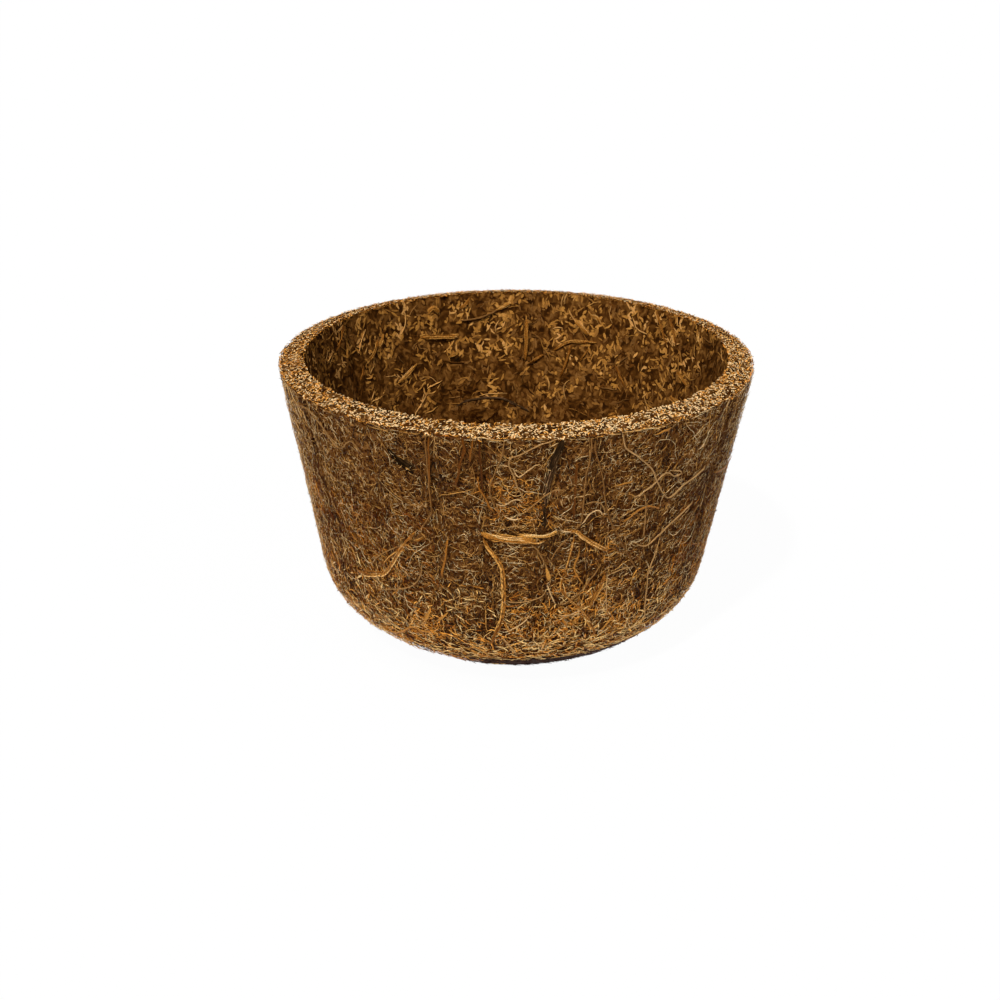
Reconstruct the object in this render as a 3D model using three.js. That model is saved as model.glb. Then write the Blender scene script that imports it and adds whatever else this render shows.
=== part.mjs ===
// A plant pot of coir: two plies of needled coconut-fibre felt, wetted with natural latex
// and pressed together hot between a flared punch and its die, then trimmed round the rim.
// Millimetres, +Z up, origin at the centre of the flat underside. The front faces -Y.
import * as THREE from "three";

// Driving sizes of the pressed shell
const rimDiameter = 127;
const potHeight = 78.6;
const wallThickness = 6.8;
const outerPlyThickness = 3.3;
const plyGap = 0.3;
const flareAngle = 10;
const heelRadius = 20.5;
const heelTurn = 47;
const undersideRadius = 45;
const undersideTurn = 72;

// Pleats that the flat felt takes as it is drawn up into the wall
const pleatWidth = 3.2;
const outerPleatDepth = 0.7;
const innerPleatDepth = 0.55;
const pleatFootHeight = 24;
const pleatFadeHeight = 34;
const widestColumnDegrees = 6.5;

// Loose husk on the two faces: its parting gap, and how it thins towards torn tips
const seatGap = 0.3;
const strandStep = 2.6;
const tipShare = 0.35;
const tipMargin = 0.04;

// The crumb of pith
const fleckLength = 3;
const fleckWidth = 2;
const fleckThickness = 0.9;
const fleckUnevenness = 0.12;

// Steps of the curved parts of the section and of the husk
const undersideSteps = 3;
const heelSteps = 5;
const wallSteps = 6;
const routeMeasures = 60;
const fewestStrandSteps = 4;
const fleckSegments = 10;
const fleckRings = 7;

const radians = THREE.MathUtils.degToRad;
const rimRadius = rimDiameter / 2;
const flare = radians(flareAngle);

// The section is a chain of tangent curves, each found from the one below it: the flat
// underside, a wide curve, the tighter heel and the straight flared wall. A depth is
// measured square to the outer face, so every face of both plies comes from this chain.
const undersideCentreHeight = undersideRadius * Math.sin(radians(undersideTurn));
const heelCentreHeight =
  undersideCentreHeight - (undersideRadius - heelRadius) * Math.sin(radians(heelTurn));
const wallFootHeight = heelCentreHeight - heelRadius * Math.sin(flare);
const outerRimHeight = potHeight - wallThickness * Math.sin(flare);
const wallFootRadius = rimRadius - (outerRimHeight - wallFootHeight) * Math.tan(flare);
const heelCentreRadius = wallFootRadius - heelRadius * Math.cos(flare);
const undersideCentreRadius =
  heelCentreRadius - (undersideRadius - heelRadius) * Math.cos(radians(heelTurn));

function onCurve(centreRadius, centreHeight, radius, turn) {
  const x = centreRadius + radius * Math.cos(turn);
  const y = centreHeight - radius * Math.sin(turn);
  return new THREE.Vector2(x, y);
}

// One face of the section, from the axis out and up to the rim, at a depth below the
// outer face. The rim is trimmed square to the wall, so a deeper face ends higher up.
function sectionFace(depth, stepsUpWall) {
  const lowestRadius = undersideRadius - depth;
  const flatTurn = Math.asin((undersideCentreHeight - depth) / lowestRadius);
  const points = [new THREE.Vector2(0, depth)];
  for (let step = 0; step <= undersideSteps; step += 1) {
    const turn = THREE.MathUtils.lerp(flatTurn, radians(heelTurn), step / undersideSteps);
    points.push(onCurve(undersideCentreRadius, undersideCentreHeight, lowestRadius, turn));
  }
  for (let step = 1; step <= heelSteps; step += 1) {
    const turn = THREE.MathUtils.lerp(radians(heelTurn), flare, step / heelSteps);
    points.push(onCurve(heelCentreRadius, heelCentreHeight, heelRadius - depth, turn));
  }
  const foot = points[points.length - 1];
  const rim = new THREE.Vector2(
    rimRadius - depth * Math.cos(flare),
    outerRimHeight + depth * Math.sin(flare),
  );
  for (let step = 1; step <= stepsUpWall; step += 1) {
    points.push(new THREE.Vector2().lerpVectors(foot, rim, step / stepsUpWall));
  }
  return points;
}

// Where each pleat meets the rim and how far it drifts sideways on its way down, in
// degrees to the right of the front, with its share of the full depth.
const outerPleats = [
  { turn: -171, drift: 2, share: 0.8 },
  { turn: -147, drift: -3, share: 1 },
  { turn: -124, drift: 2, share: 0.6 },
  { turn: -99, drift: 3, share: 1 },
  { turn: -78, drift: 1, share: 0.7 },
  { turn: -57, drift: 4, share: 0.8 },
  { turn: -36, drift: 3, share: 0.6 },
  { turn: -19, drift: 1, share: 0.9 },
  { turn: -8, drift: 1, share: 0.8 },
  { turn: 9, drift: -4, share: 1 },
  { turn: 18, drift: 2, share: 0.8 },
  { turn: 36, drift: 1, share: 0.7 },
  { turn: 58, drift: -3, share: 0.7 },
  { turn: 81, drift: -2, share: 1 },
  { turn: 106, drift: 2, share: 0.7 },
  { turn: 131, drift: -2, share: 1 },
  { turn: 162, drift: 2, share: 0.7 },
];
const innerPleats = [
  { turn: -158, drift: 2, share: 0.8 },
  { turn: -121, drift: -2, share: 1 },
  { turn: -88, drift: 2, share: 0.7 },
  { turn: -47, drift: 3, share: 1 },
  { turn: -12, drift: -2, share: 0.8 },
  { turn: 26, drift: 2, share: 0.9 },
  { turn: 67, drift: -2, share: 0.8 },
  { turn: 101, drift: 2, share: 1 },
  { turn: 138, drift: -3, share: 0.8 },
  { turn: 173, drift: 2, share: 1 },
];

// Columns of the wall: three to each pleat, its two lips and its crease, and evenly
// spaced ones on the smooth felt between two pleats.
function pleatColumns(pleats) {
  const halfWidth = THREE.MathUtils.radToDeg(pleatWidth / 2 / rimRadius);
  const columns = [];
  pleats.forEach((pleat, index) => {
    const { turn, drift, share } = pleat;
    columns.push({ turn: turn - halfWidth, drift, share: 0 });
    columns.push({ turn, drift, share });
    columns.push({ turn: turn + halfWidth, drift, share: 0 });
    const last = index === pleats.length - 1;
    const next = pleats[last ? 0 : index + 1];
    const nextTurn = last ? next.turn + 360 : next.turn;
    const from = turn + halfWidth;
    const to = nextTurn - halfWidth;
    const footGap = to + next.drift - from - drift;
    const steps = Math.max(1, Math.ceil(Math.max(to - from, footGap) / widestColumnDegrees));
    for (let step = 1; step < steps; step += 1) {
      const along = step / steps;
      columns.push({
        turn: THREE.MathUtils.lerp(from, to, along),
        drift: THREE.MathUtils.lerp(drift, next.drift, along),
        share: 0,
      });
    }
  });
  return columns;
}

function roundThePot(radius, turnDegrees, height) {
  const turn = radians(turnDegrees);
  return new THREE.Vector3(radius * Math.sin(turn), -radius * Math.cos(turn), height);
}

// One ply: the section is revolved, then each vertex goes to its own column, which leans
// with its pleat, and the crease is sunk into the pleated face square to the wall.
function felt(name, pleatedDepth, plainDepth, pleats, pleatDepth, material) {
  const pleatedFace = sectionFace(pleatedDepth, wallSteps);
  const plainFace = sectionFace(plainDepth, 1);
  const pleatedIsOutside = pleatedDepth < plainDepth;
  const outside = pleatedIsOutside ? pleatedFace : plainFace;
  const inside = pleatedIsOutside ? plainFace : pleatedFace;
  const profile = [...outside, ...inside.reverse()];
  const columns = pleatColumns(pleats);
  const geometry = new THREE.LatheGeometry(profile, columns.length);
  const places = geometry.getAttribute("position");
  const intoFelt = pleatedIsOutside ? -1 : 1;
  for (let index = 0; index < places.count; index += 1) {
    const point = profile[index % profile.length];
    const column = columns[Math.floor(index / profile.length) % columns.length];
    const upWall = (point.y - wallFootHeight) / (potHeight - wallFootHeight);
    const leaning = 1 - THREE.MathUtils.clamp(upWall, 0, 1);
    const fade = THREE.MathUtils.smoothstep(
      point.y,
      pleatFootHeight,
      pleatFootHeight + pleatFadeHeight,
    );
    const sunk = pleatedFace.includes(point) ? column.share * fade * pleatDepth : 0;
    const radius = point.x + intoFelt * sunk * Math.cos(flare);
    const height = point.y - intoFelt * sunk * Math.sin(flare);
    const place = roundThePot(radius, column.turn + column.drift * leaning, height);
    places.setXYZ(index, place.x, place.y, place.z);
  }
  geometry.computeVertexNormals();
  const mesh = new THREE.Mesh(geometry, material);
  mesh.name = name;
  return mesh;
}

// A point of the outer or inner face at a height, lifted off it along its normal.
function onFace(isOutside, turnDegrees, height, lift) {
  const depth = isOutside ? 0 : wallThickness;
  let radius = rimRadius - depth / Math.cos(flare) - (outerRimHeight - height) * Math.tan(flare);
  let turn = flare;
  const heelTop = heelCentreHeight - (heelRadius - depth) * Math.sin(flare);
  const heelFoot = heelCentreHeight - (heelRadius - depth) * Math.sin(radians(heelTurn));
  if (height < heelFoot) {
    turn = Math.asin((undersideCentreHeight - height) / (undersideRadius - depth));
    radius = undersideCentreRadius + (undersideRadius - depth) * Math.cos(turn);
  } else if (height < heelTop) {
    turn = Math.asin((heelCentreHeight - height) / (heelRadius - depth));
    radius = heelCentreRadius + (heelRadius - depth) * Math.cos(turn);
  }
  const away = isOutside ? 1 : -1;
  const normalRadius = away * Math.cos(turn);
  const normalHeight = -away * Math.sin(turn);
  const liftedRadius = radius + lift * normalRadius;
  const place = roundThePot(liftedRadius, turnDegrees, height + lift * normalHeight);
  const normal = roundThePot(normalRadius, turnDegrees, normalHeight);
  return { place, normal };
}

// A strand of husk: a lens-shaped section swept along its route on the face, kept flat to
// the felt and drawn out thin towards both tips, as a torn fibre is. A route is a list of
// places in degrees to the right of the front and percent of the pot's height.
function strand({ name, inside, route, width, thickness, sides, material }) {
  const corners = route.map(
    ([turn, percentUp]) => new THREE.Vector3(turn, (percentUp / 100) * potHeight, 0),
  );
  const curve = new THREE.CatmullRomCurve3(corners, false, "centripetal");
  const lift = seatGap + thickness / 2;
  const at = (along) => {
    const { x, y } = curve.getPoint(along);
    return onFace(!inside, x, y, lift);
  };
  let length = 0;
  for (let step = 0; step < routeMeasures; step += 1) {
    const start = at(step / routeMeasures).place;
    length += start.distanceTo(at((step + 1) / routeMeasures).place);
  }
  const steps = Math.max(fewestStrandSteps, Math.round(length / strandStep));
  const nudge = 0.1 / steps;
  const positions = [];
  const faces = [];
  for (let step = 0; step <= steps; step += 1) {
    const along = step / steps;
    const { place, normal } = at(along);
    const behind = at(Math.max(0, along - nudge)).place;
    const ahead = at(Math.min(1, along + nudge)).place;
    const forward = ahead.sub(behind).normalize();
    const across = new THREE.Vector3().crossVectors(normal, forward).normalize();
    const fromTip = THREE.MathUtils.lerp(tipMargin, 1 - tipMargin, along);
    const taper = THREE.MathUtils.lerp(tipShare, 1, Math.sqrt(Math.sin(Math.PI * fromTip)));
    for (let side = 0; side < sides; side += 1) {
      const turn = (2 * Math.PI * side) / sides;
      const corner = place
        .clone()
        .addScaledVector(across, (width / 2) * taper * Math.cos(turn))
        .addScaledVector(normal, (thickness / 2) * taper * Math.sin(turn));
      positions.push(...corner.toArray());
    }
  }
  for (let step = 0; step < steps; step += 1) {
    for (let side = 0; side < sides; side += 1) {
      const next = (side + 1) % sides;
      const a = step * sides + side;
      const b = step * sides + next;
      faces.push(a, b, a + sides, b, b + sides, a + sides);
    }
  }
  const end = steps * sides;
  for (let side = 1; side < sides - 1; side += 1) {
    faces.push(0, side + 1, side);
    faces.push(end, end + side, end + side + 1);
  }
  const geometry = new THREE.BufferGeometry();
  geometry.setAttribute("position", new THREE.Float32BufferAttribute(positions, 3));
  geometry.setIndex(faces);
  geometry.computeVertexNormals();
  const mesh = new THREE.Mesh(geometry, material);
  mesh.name = name;
  return mesh;
}

// A crumb of pith: a squashed, slightly uneven ball caught flat on the face.
function pithFleck(name, turn, percentUp, material) {
  const geometry = new THREE.SphereGeometry(0.5, fleckSegments, fleckRings);
  const places = geometry.getAttribute("position");
  const lift = seatGap + fleckThickness / 2;
  const { place, normal } = onFace(true, turn, (percentUp / 100) * potHeight, lift);
  const across = new THREE.Vector3(-normal.y, normal.x, 0).normalize();
  const upward = new THREE.Vector3().crossVectors(normal, across);
  for (let index = 0; index < places.count; index += 1) {
    const ball = new THREE.Vector3().fromBufferAttribute(places, index);
    const dent = Math.abs(Math.sin(5 * ball.x) * Math.cos(4 * ball.y));
    const uneven = 1 - fleckUnevenness * dent;
    const corner = place
      .clone()
      .addScaledVector(across, ball.x * fleckLength * uneven)
      .addScaledVector(upward, ball.y * fleckWidth * uneven)
      .addScaledVector(normal, ball.z * fleckThickness);
    places.setXYZ(index, corner.x, corner.y, corner.z);
  }
  geometry.computeVertexNormals();
  const mesh = new THREE.Mesh(geometry, material);
  mesh.name = name;
  return mesh;
}

const finish = (color, roughness) =>
  new THREE.MeshStandardMaterial({ color, roughness, metalness: 0 });
const outerFeltFinish = finish(0x6a4a2a, 0.9);
const innerFeltFinish = finish(0x4d3013, 0.92);
const goldHusk = finish(0xb3792c, 0.7);
const tanFibre = finish(0xa98358, 0.75);
const darkHusk = finish(0x2e2317, 0.85);

// The kinds of loose husk: flat ribbons of husk skin and single round threads
const ribbon = { width: 1.2, thickness: 0.5, sides: 6, material: goldHusk };
const wideRibbon = { ...ribbon, width: 1.6 };
const darkStrip = { ...ribbon, width: 2.2, material: darkHusk };
const straw = { ...ribbon, width: 0.9, material: tanFibre };
const thread = { width: 0.7, thickness: 0.6, sides: 5, material: tanFibre };
const goldThread = { ...thread, material: goldHusk };
const darkThread = { ...thread, width: 0.9, material: darkHusk };

// The strands, each by its kind and its route over the outer face or, where it says so,
// the inner one. The routes are chosen by eye.
const strands = [
  {
    ...wideRibbon,
    name: "front_husk_ribbon",
    route: [[-9, 65], [-4, 63.5], [1, 62.5], [6, 63.5], [10, 65]],
  },
  {
    ...ribbon,
    name: "front_ribbon_tail",
    route: [[14, 63.5], [17, 61], [20, 58.5], [23, 56]],
  },
  {
    ...ribbon,
    name: "left_husk_sliver",
    route: [[-25, 61.5], [-29, 57.5], [-32.5, 49.5], [-36, 44], [-39.5, 40.5], [-44, 39.5]],
  },
  {
    ...ribbon,
    name: "centre_husk_ribbon",
    route: [[-5, 56], [-3.5, 51], [-3, 44.5], [-3, 39.5], [-4, 33], [-6.5, 21.5]],
  },
  {
    ...ribbon,
    name: "heel_ribbon",
    route: [[23, 47], [22.5, 42], [20.5, 35]],
  },
  {
    ...ribbon,
    name: "heel_cross_strand",
    route: [[11.5, 44.5], [14.5, 38], [18.5, 32], [22.5, 23]],
  },
  {
    ...straw,
    name: "heel_straw",
    route: [[-3, 26], [-0.5, 21.5], [2, 16.5]],
  },
  {
    ...darkStrip,
    name: "dark_husk_strip",
    route: [[8.5, 95.5], [7, 88], [6, 81.5], [6, 75], [6, 68]],
  },
  {
    ...thread,
    name: "long_curl",
    route: [
      [22.5, 96.5], [23.5, 92], [26, 90.5], [30, 86.5], [32.5, 81.5], [36, 74], [38.5, 71],
      [41, 70.5], [44.5, 72.5], [52, 75], [60, 73], [66, 70],
    ],
  },
  {
    ...thread,
    name: "long_thread",
    route: [
      [16, 96.5], [17.5, 88], [19.5, 77.5], [21, 69.5], [24.5, 62.5], [29, 53], [35, 41.5],
    ],
  },
  {
    ...thread,
    name: "left_curly_thread",
    route: [[-51, 88.5], [-47, 86], [-43.5, 86.5], [-40.5, 89.5], [-38.5, 89], [-37, 86]],
  },
  {
    ...thread,
    name: "left_upright_fibre",
    route: [[-19.5, 95.5], [-19, 85], [-18.5, 75], [-19, 68.5], [-21.5, 65]],
  },
  {
    ...thread,
    name: "centre_loop_thread",
    route: [[-1.5, 90.5], [-1, 84], [0.5, 78], [3, 73]],
  },
  {
    ...thread,
    name: "arc_thread",
    route: [[15, 67.5], [16, 70], [17.5, 71.5], [19, 72]],
  },
  {
    ...thread,
    name: "right_arc_thread",
    route: [[32, 55.5], [35, 54.5], [38, 57.5], [45.5, 61.5]],
  },
  {
    ...thread,
    name: "right_upright_fibre",
    route: [[39, 49.5], [37.5, 43.5], [38, 34.5], [38.5, 28], [40, 23]],
  },
  {
    ...thread,
    name: "inner_pale_thread",
    inside: true,
    route: [[-163, 89.5], [-168, 91], [-173, 93], [-179, 95.5]],
  },
  {
    ...goldThread,
    name: "inner_bent_strand",
    inside: true,
    route: [[167, 80], [163, 83.5], [158, 84], [151, 84.5]],
  },
  {
    ...darkThread,
    name: "inner_dark_curl",
    inside: true,
    route: [[195, 57.5], [188, 60], [181, 59], [174, 56]],
  },
  {
    ...wideRibbon,
    name: "back_husk_ribbon",
    route: [[150, 74], [156, 70], [163, 68.5], [170, 65]],
  },
  {
    ...ribbon,
    name: "back_husk_sliver",
    route: [[-138, 43.5], [-133, 48.5], [-128, 56], [-126, 63.5]],
  },
  {
    ...thread,
    name: "back_long_curl",
    route: [
      [-178, 86.5], [-171, 80], [-167, 71], [-161, 68.5], [-155, 74], [-151, 82.5],
      [-145, 88],
    ],
  },
  {
    ...thread,
    name: "side_long_thread",
    route: [[92, 93], [96, 79], [94, 63.5], [99, 48.5], [105, 34.5]],
  },
];

const pot = new THREE.Group();
const innerPlyDepth = outerPlyThickness + plyGap;
const outerPly = [0, outerPlyThickness, outerPleats, outerPleatDepth];
const innerPly = [wallThickness, innerPlyDepth, innerPleats, innerPleatDepth];
pot.add(felt("outer_felt", ...outerPly, outerFeltFinish));
pot.add(felt("inner_felt", ...innerPly, innerFeltFinish));
strands.forEach((piece) => pot.add(strand(piece)));
pot.add(pithFleck("pith_fleck", -26.5, 86, darkHusk));

export default pot;
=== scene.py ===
import math
import random

import bmesh
import bpy
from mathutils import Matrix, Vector, noise


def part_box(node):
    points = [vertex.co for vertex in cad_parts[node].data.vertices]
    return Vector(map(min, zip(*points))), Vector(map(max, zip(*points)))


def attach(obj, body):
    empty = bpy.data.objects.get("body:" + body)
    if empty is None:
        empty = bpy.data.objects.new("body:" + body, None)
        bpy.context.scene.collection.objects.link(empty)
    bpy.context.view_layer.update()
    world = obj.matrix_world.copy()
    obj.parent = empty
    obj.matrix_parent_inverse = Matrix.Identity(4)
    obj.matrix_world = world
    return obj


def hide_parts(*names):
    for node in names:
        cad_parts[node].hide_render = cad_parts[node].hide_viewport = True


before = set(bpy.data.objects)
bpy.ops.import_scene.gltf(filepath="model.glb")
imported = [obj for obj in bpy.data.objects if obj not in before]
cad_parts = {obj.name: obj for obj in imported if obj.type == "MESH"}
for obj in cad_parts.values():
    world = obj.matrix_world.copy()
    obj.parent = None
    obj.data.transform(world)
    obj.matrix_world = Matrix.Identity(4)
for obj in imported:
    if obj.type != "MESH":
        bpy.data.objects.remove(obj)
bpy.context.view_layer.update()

# The outer ply of the pot: needled coconut-fibre felt, wetted with latex and drawn hot
# over a punch into a flared wall, a rounded heel and a flat underside. This is the dark
# compressed body of the ply; the fibres that lie on it follow in the next sections.
mm = 0.001
rim_radius = 63.5 * mm
pot_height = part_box("inner_felt")[1][2]
wall_thickness = 6.8 * mm
ply_thickness = 3.4 * mm
flare = math.radians(10)
heel_radius = 20.5 * mm
heel_turn = math.radians(47)
underside_radius = 45 * mm
underside_turn = math.radians(72)
flat_steps, underside_steps, heel_steps, wall_steps = 8, 8, 12, 40
# The pot dried a little askew, so that its rim sits towards +X of its base.
lean = 0.0108

underside_centre_height = underside_radius * math.sin(underside_turn)
heel_centre_height = underside_centre_height - (underside_radius - heel_radius) * math.sin(heel_turn)
wall_foot_height = heel_centre_height - heel_radius * math.sin(flare)
outer_rim_height = pot_height - wall_thickness * math.sin(flare)
wall_foot_radius = rim_radius - (outer_rim_height - wall_foot_height) * math.tan(flare)
heel_centre_radius = wall_foot_radius - heel_radius * math.cos(flare)
underside_centre_radius = heel_centre_radius - (underside_radius - heel_radius) * math.cos(heel_turn)


def section_face(depth):
    """Radius and height from the axis out to the rim, at a depth square to the outer face."""
    low = underside_radius - depth
    flat_turn = math.asin((underside_centre_height - depth) / low)
    flat_edge = underside_centre_radius + low * math.cos(flat_turn)

    def arc(radius, height, reach, start, end, steps):
        turns = [start + (end - start) * step / steps for step in range(steps + 1)]
        return [(radius + reach * math.cos(turn), height - reach * math.sin(turn)) for turn in turns]

    face = [(flat_edge * step / flat_steps, depth) for step in range(flat_steps)]
    face += arc(underside_centre_radius, underside_centre_height, low, flat_turn, heel_turn, underside_steps)[:-1]
    face += arc(heel_centre_radius, heel_centre_height, heel_radius - depth, heel_turn, flare, heel_steps)
    foot = face[-1]
    rim = (rim_radius - depth * math.cos(flare), outer_rim_height + depth * math.sin(flare))
    for step in range(1, wall_steps + 1):
        share = step / wall_steps
        face.append((foot[0] + (rim[0] - foot[0]) * share, foot[1] + (rim[1] - foot[1]) * share))
    return face


def round_the_pot(radius, turn, height):
    """A place from its radius, its turn to the right of the front in radians, and its height."""
    return Vector((radius * math.sin(turn) + lean * height, -radius * math.cos(turn), height))


# Degrees to the right of the front at the rim, drift on the way down, share of full depth
outer_pleats = (
    (-171, 2, 0.8), (-147, -3, 1), (-124, 2, 0.6), (-99, 3, 1), (-78, 1, 0.7), (-57, 4, 0.8),
    (-36, 3, 0.6), (-19, 1, 0.9), (-8, 1, 0.8), (9, -4, 1), (18, 2, 0.8), (36, 1, 0.7),
    (58, -3, 0.7), (81, -2, 1), (106, 2, 0.7), (131, -2, 1), (162, 2, 0.7),
)
pleat_width = 3.2 * mm
pleat_depth = 0.7 * mm
pleat_foot = 24 * mm
pleat_full = 58 * mm


def pleat_sink(pleats, turn, height):
    """How far the face sinks into the pleats at a place."""
    fade = min(1, max(0, (height - pleat_foot) / (pleat_full - pleat_foot)))
    leaning = min(1, max(0, (pot_height - height) / (pot_height - wall_foot_height)))
    sink = 0
    for at_rim, drift, share in pleats:
        middle = math.radians(at_rim + drift * leaning)
        apart = (turn - middle + math.pi) % (2 * math.pi) - math.pi
        across = abs(apart) * rim_radius / (pleat_width / 2)
        if across < 2:
            sink += share * pleat_depth * fade * 0.5 * (1 + math.cos(math.pi * across / 2))
    return sink


def felt_body(name, finish, worked_depth, plain_depth, pleats, lumps):
    """One ply as a closed solid, lumpy and pleated on its worked face."""
    worked_is_outside = worked_depth < plain_depth
    into = -1 if worked_is_outside else 1
    columns = 300
    broad_lumps, fine_lumps = 420, 1300
    felt = bmesh.new()

    def ring(radius, height, on_worked):
        places = []
        for column in range(columns):
            turn = 2 * math.pi * column / columns
            sink = 0
            if on_worked:
                spot = round_the_pot(radius, turn, height)
                sink = pleat_sink(pleats, turn, height)
                broad = 0.5 + 0.5 * noise.noise(spot * broad_lumps)
                sink += lumps * broad + lumps * 0.8 * noise.noise(spot * fine_lumps)
            places.append(felt.verts.new(round_the_pot(
                radius + into * sink * math.cos(flare), turn, height - into * sink * math.sin(flare))))
        return places

    # The hidden face against the other ply needs only every fourth ring
    worked, plain = section_face(worked_depth)[1:], section_face(plain_depth)[4::4]
    outside, inside = (worked, plain) if worked_is_outside else (plain, worked)
    rings = [ring(*place, worked_is_outside) for place in outside]
    rings += [ring(*place, not worked_is_outside) for place in reversed(inside)]
    for lower, upper in zip(rings, rings[1:]):
        for column in range(columns):
            after = (column + 1) % columns
            felt.faces.new((lower[column], lower[after], upper[after], upper[column]))
    for ends, height, flip in ((rings[0], outside[0][1], True), (rings[-1], inside[0][1], False)):
        middle = felt.verts.new((0, 0, height))
        for column in range(columns):
            pair = (ends[column], ends[(column + 1) % columns])
            felt.faces.new((middle, *reversed(pair)) if flip else (middle, *pair))
    mesh = bpy.data.meshes.new(name)
    felt.to_mesh(mesh)
    felt.free()
    mesh.shade_smooth()
    mesh.materials.append(finish)
    return mesh


def put_in_scene(name, data):
    """A new object with this mesh, curve, lamp or camera."""
    thing = bpy.data.objects.new(name, data)
    bpy.context.collection.objects.link(thing)
    return thing


def keep_piece(name, slot, mesh, *nodes):
    """Puts a finished piece on the pot, in place of these nodes of the solid model."""
    piece = put_in_scene(name, mesh)
    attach(piece, "root")
    if nodes:
        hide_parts(*nodes)


class Figure:
    """A figure that comes out of a node. What is reckoned from it is a node too."""

    def __init__(self, socket):
        self.socket = socket

    def __add__(self, other):
        return reckon("ADD", self, other)

    def __sub__(self, other):
        return reckon("SUBTRACT", self, other)

    def __rsub__(self, other):
        return reckon("SUBTRACT", other, self)

    def __mul__(self, other):
        return reckon("MULTIPLY", self, other)

    def __truediv__(self, other):
        return reckon("DIVIDE", self, other)

    def __pow__(self, other):
        return reckon("POWER", self, other)

    def __lt__(self, other):
        return reckon("LESS_THAN", self, other)


def feed(node, feeds):
    """Sets or wires a node's inputs."""
    for label, value in feeds.items():
        if isinstance(value, Figure):
            node.id_data.links.new(value.socket, node.inputs[label])
        else:
            node.inputs[label].default_value = value


def wired(tree, kind, feeds, output=0, **settings):
    """Adds a node with its settings and feeds, and gives the figure that comes out of it."""
    node = tree.nodes.new(kind)
    for label, value in settings.items():
        setattr(node, label, value)
    feed(node, feeds)
    if isinstance(output, tuple):
        return [Figure(node.outputs[label]) for label in output]
    return Figure(node.outputs[output])


def reckon(operation, *values):
    """A sum in the tree that its figures come from."""
    tree = next(value.socket.id_data for value in values if isinstance(value, Figure))
    return wired(tree, "ShaderNodeMath", dict(enumerate(values)), operation=operation)


def ranged(tree, value, found, wanted):
    """Stretches a figure from the range it is found in to the range that is wanted."""
    return wired(tree, "ShaderNodeMapRange", {
        "Value": value, "From Min": found[0], "From Max": found[1], "To Min": wanted[0], "To Max": wanted[1],
    }, "Result")


def tone_ramp(tree, factor, tones):
    """A colour ramp. Each tone is its place, then red, green and blue."""
    ramp = wired(tree, "ShaderNodeValToRGB", {"Fac": factor}, "Color")
    stops = ramp.socket.node.color_ramp.elements
    for stop, (place, *colour) in ((stops[0], tones[0]), (stops[1], tones[-1])):
        stop.position, stop.color = place, (*colour, 1)
    for place, *colour in tones[1:-1]:
        stops.new(place).color = (*colour, 1)
    return ramp


def new_finish(name):
    """A material, its tree of nodes and its shader."""
    material = bpy.data.materials.new(name)
    material.use_nodes = True
    return material, material.node_tree, material.node_tree.nodes["Principled BSDF"]


def pressed_felt(name, patch_scale, patch_tones, curl_scales=(), warm=(), pale=()):
    """Latexed felt between the loose fibres: blotched brown, crossed by fine nested curls."""
    material, tree, shader = new_finish(name)
    place = wired(tree, "ShaderNodeTexCoord", {}, "Object")

    def swirled(at, scale, detail):
        feeds = {"Vector": at, "Scale": scale, "Detail": detail, "Distortion": 0.8}
        return wired(tree, "ShaderNodeTexNoise", feeds, "Fac")

    relief = swirled(place, patch_scale, 3)
    colour = tone_ramp(tree, relief, patch_tones)
    for layer, scale in enumerate(curl_scales):
        apart = (0.31 * layer, 0.17, 0.23 * layer)
        swirl = swirled(wired(tree, "ShaderNodeVectorMath", {0: place, 1: apart}, operation="ADD"), scale, 1)
        # Evenly spaced levels of the swirl are curls nested in one another
        curl = ranged(tree, reckon("PINGPONG", swirl, 0.05), (0.022, 0.008), (0.0, 0.9))
        tint = tone_ramp(tree, swirl, ((0.36, *warm), (0.46, *pale), (0.53, *warm), (0.62, *pale)))
        colour = wired(tree, "ShaderNodeMix", {0: curl, 6: colour, 7: tint}, 2, data_type="RGBA")
        relief = relief + curl
    bump = wired(tree, "ShaderNodeBump", {"Height": relief, "Strength": 0.9, "Distance": 0.0003}, "Normal")
    feed(shader, {"Base Color": colour, "Normal": bump, "Roughness": 0.9, "Specular IOR Level": 0.02})
    return material


outer_felt_finish = pressed_felt(
    "outer_felt_dark", 300, ((0.36, 0.012, 0.0025, 0.0002), (0.64, 0.07, 0.02, 0.0025)),
    curl_scales=(140, 200, 280), warm=(0.08, 0.024, 0.003), pale=(0.3, 0.13, 0.035))
outer_felt_mesh = felt_body(
    "outer_felt_body", outer_felt_finish, 0.45 * mm, ply_thickness, outer_pleats, 0.25 * mm)
keep_piece("outer_felt_body", "outer_felt", outer_felt_mesh, "outer_felt")

# The fibres of the outer face: single coconut fibres, curled and matted by the needles,
# flattened by the press. They keep the lay of the flat felt, so they run level at the
# front and lean over towards the sides, and gather upright along each pleat.
fibre_inputs = {
    "Object": ("Section", "Pleats"),
    "Int": ("Fibres", "Points", "Seed"),
    "Float": (
        "Turn from", "Turn to", "Up from", "Up to", "Up crowding", "Up end", "Length from", "Length to",
        "Thickness from", "Thickness to", "Flatness", "Pale thinning", "Lay", "Lay spread", "Stray share",
        "Pleat pull", "Curl", "Wave", "Lift from", "Lift to", "Lift wave", "Standing end", "Standing rarity",
        "Tone from", "Tone to", "Tone by lift", "Tone by height", "Tone at pleats", "Patches per metre",
        "Patchiness", "Side",
    ),
    "Material": ("Material",),
}
pleat_pull_reach = (1.2 * mm, 5.0 * mm)
gathered_spread = 0.35
gathered_straightness = 0.85
share_of_short_ones = 1.6
share_of_thin_ones = 1.5
end_taper = 0.6
palest_from = 0.6
table_clearance = 0.3 * mm
streak_across = 0.012
flattest_round_one = 0.25


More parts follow.
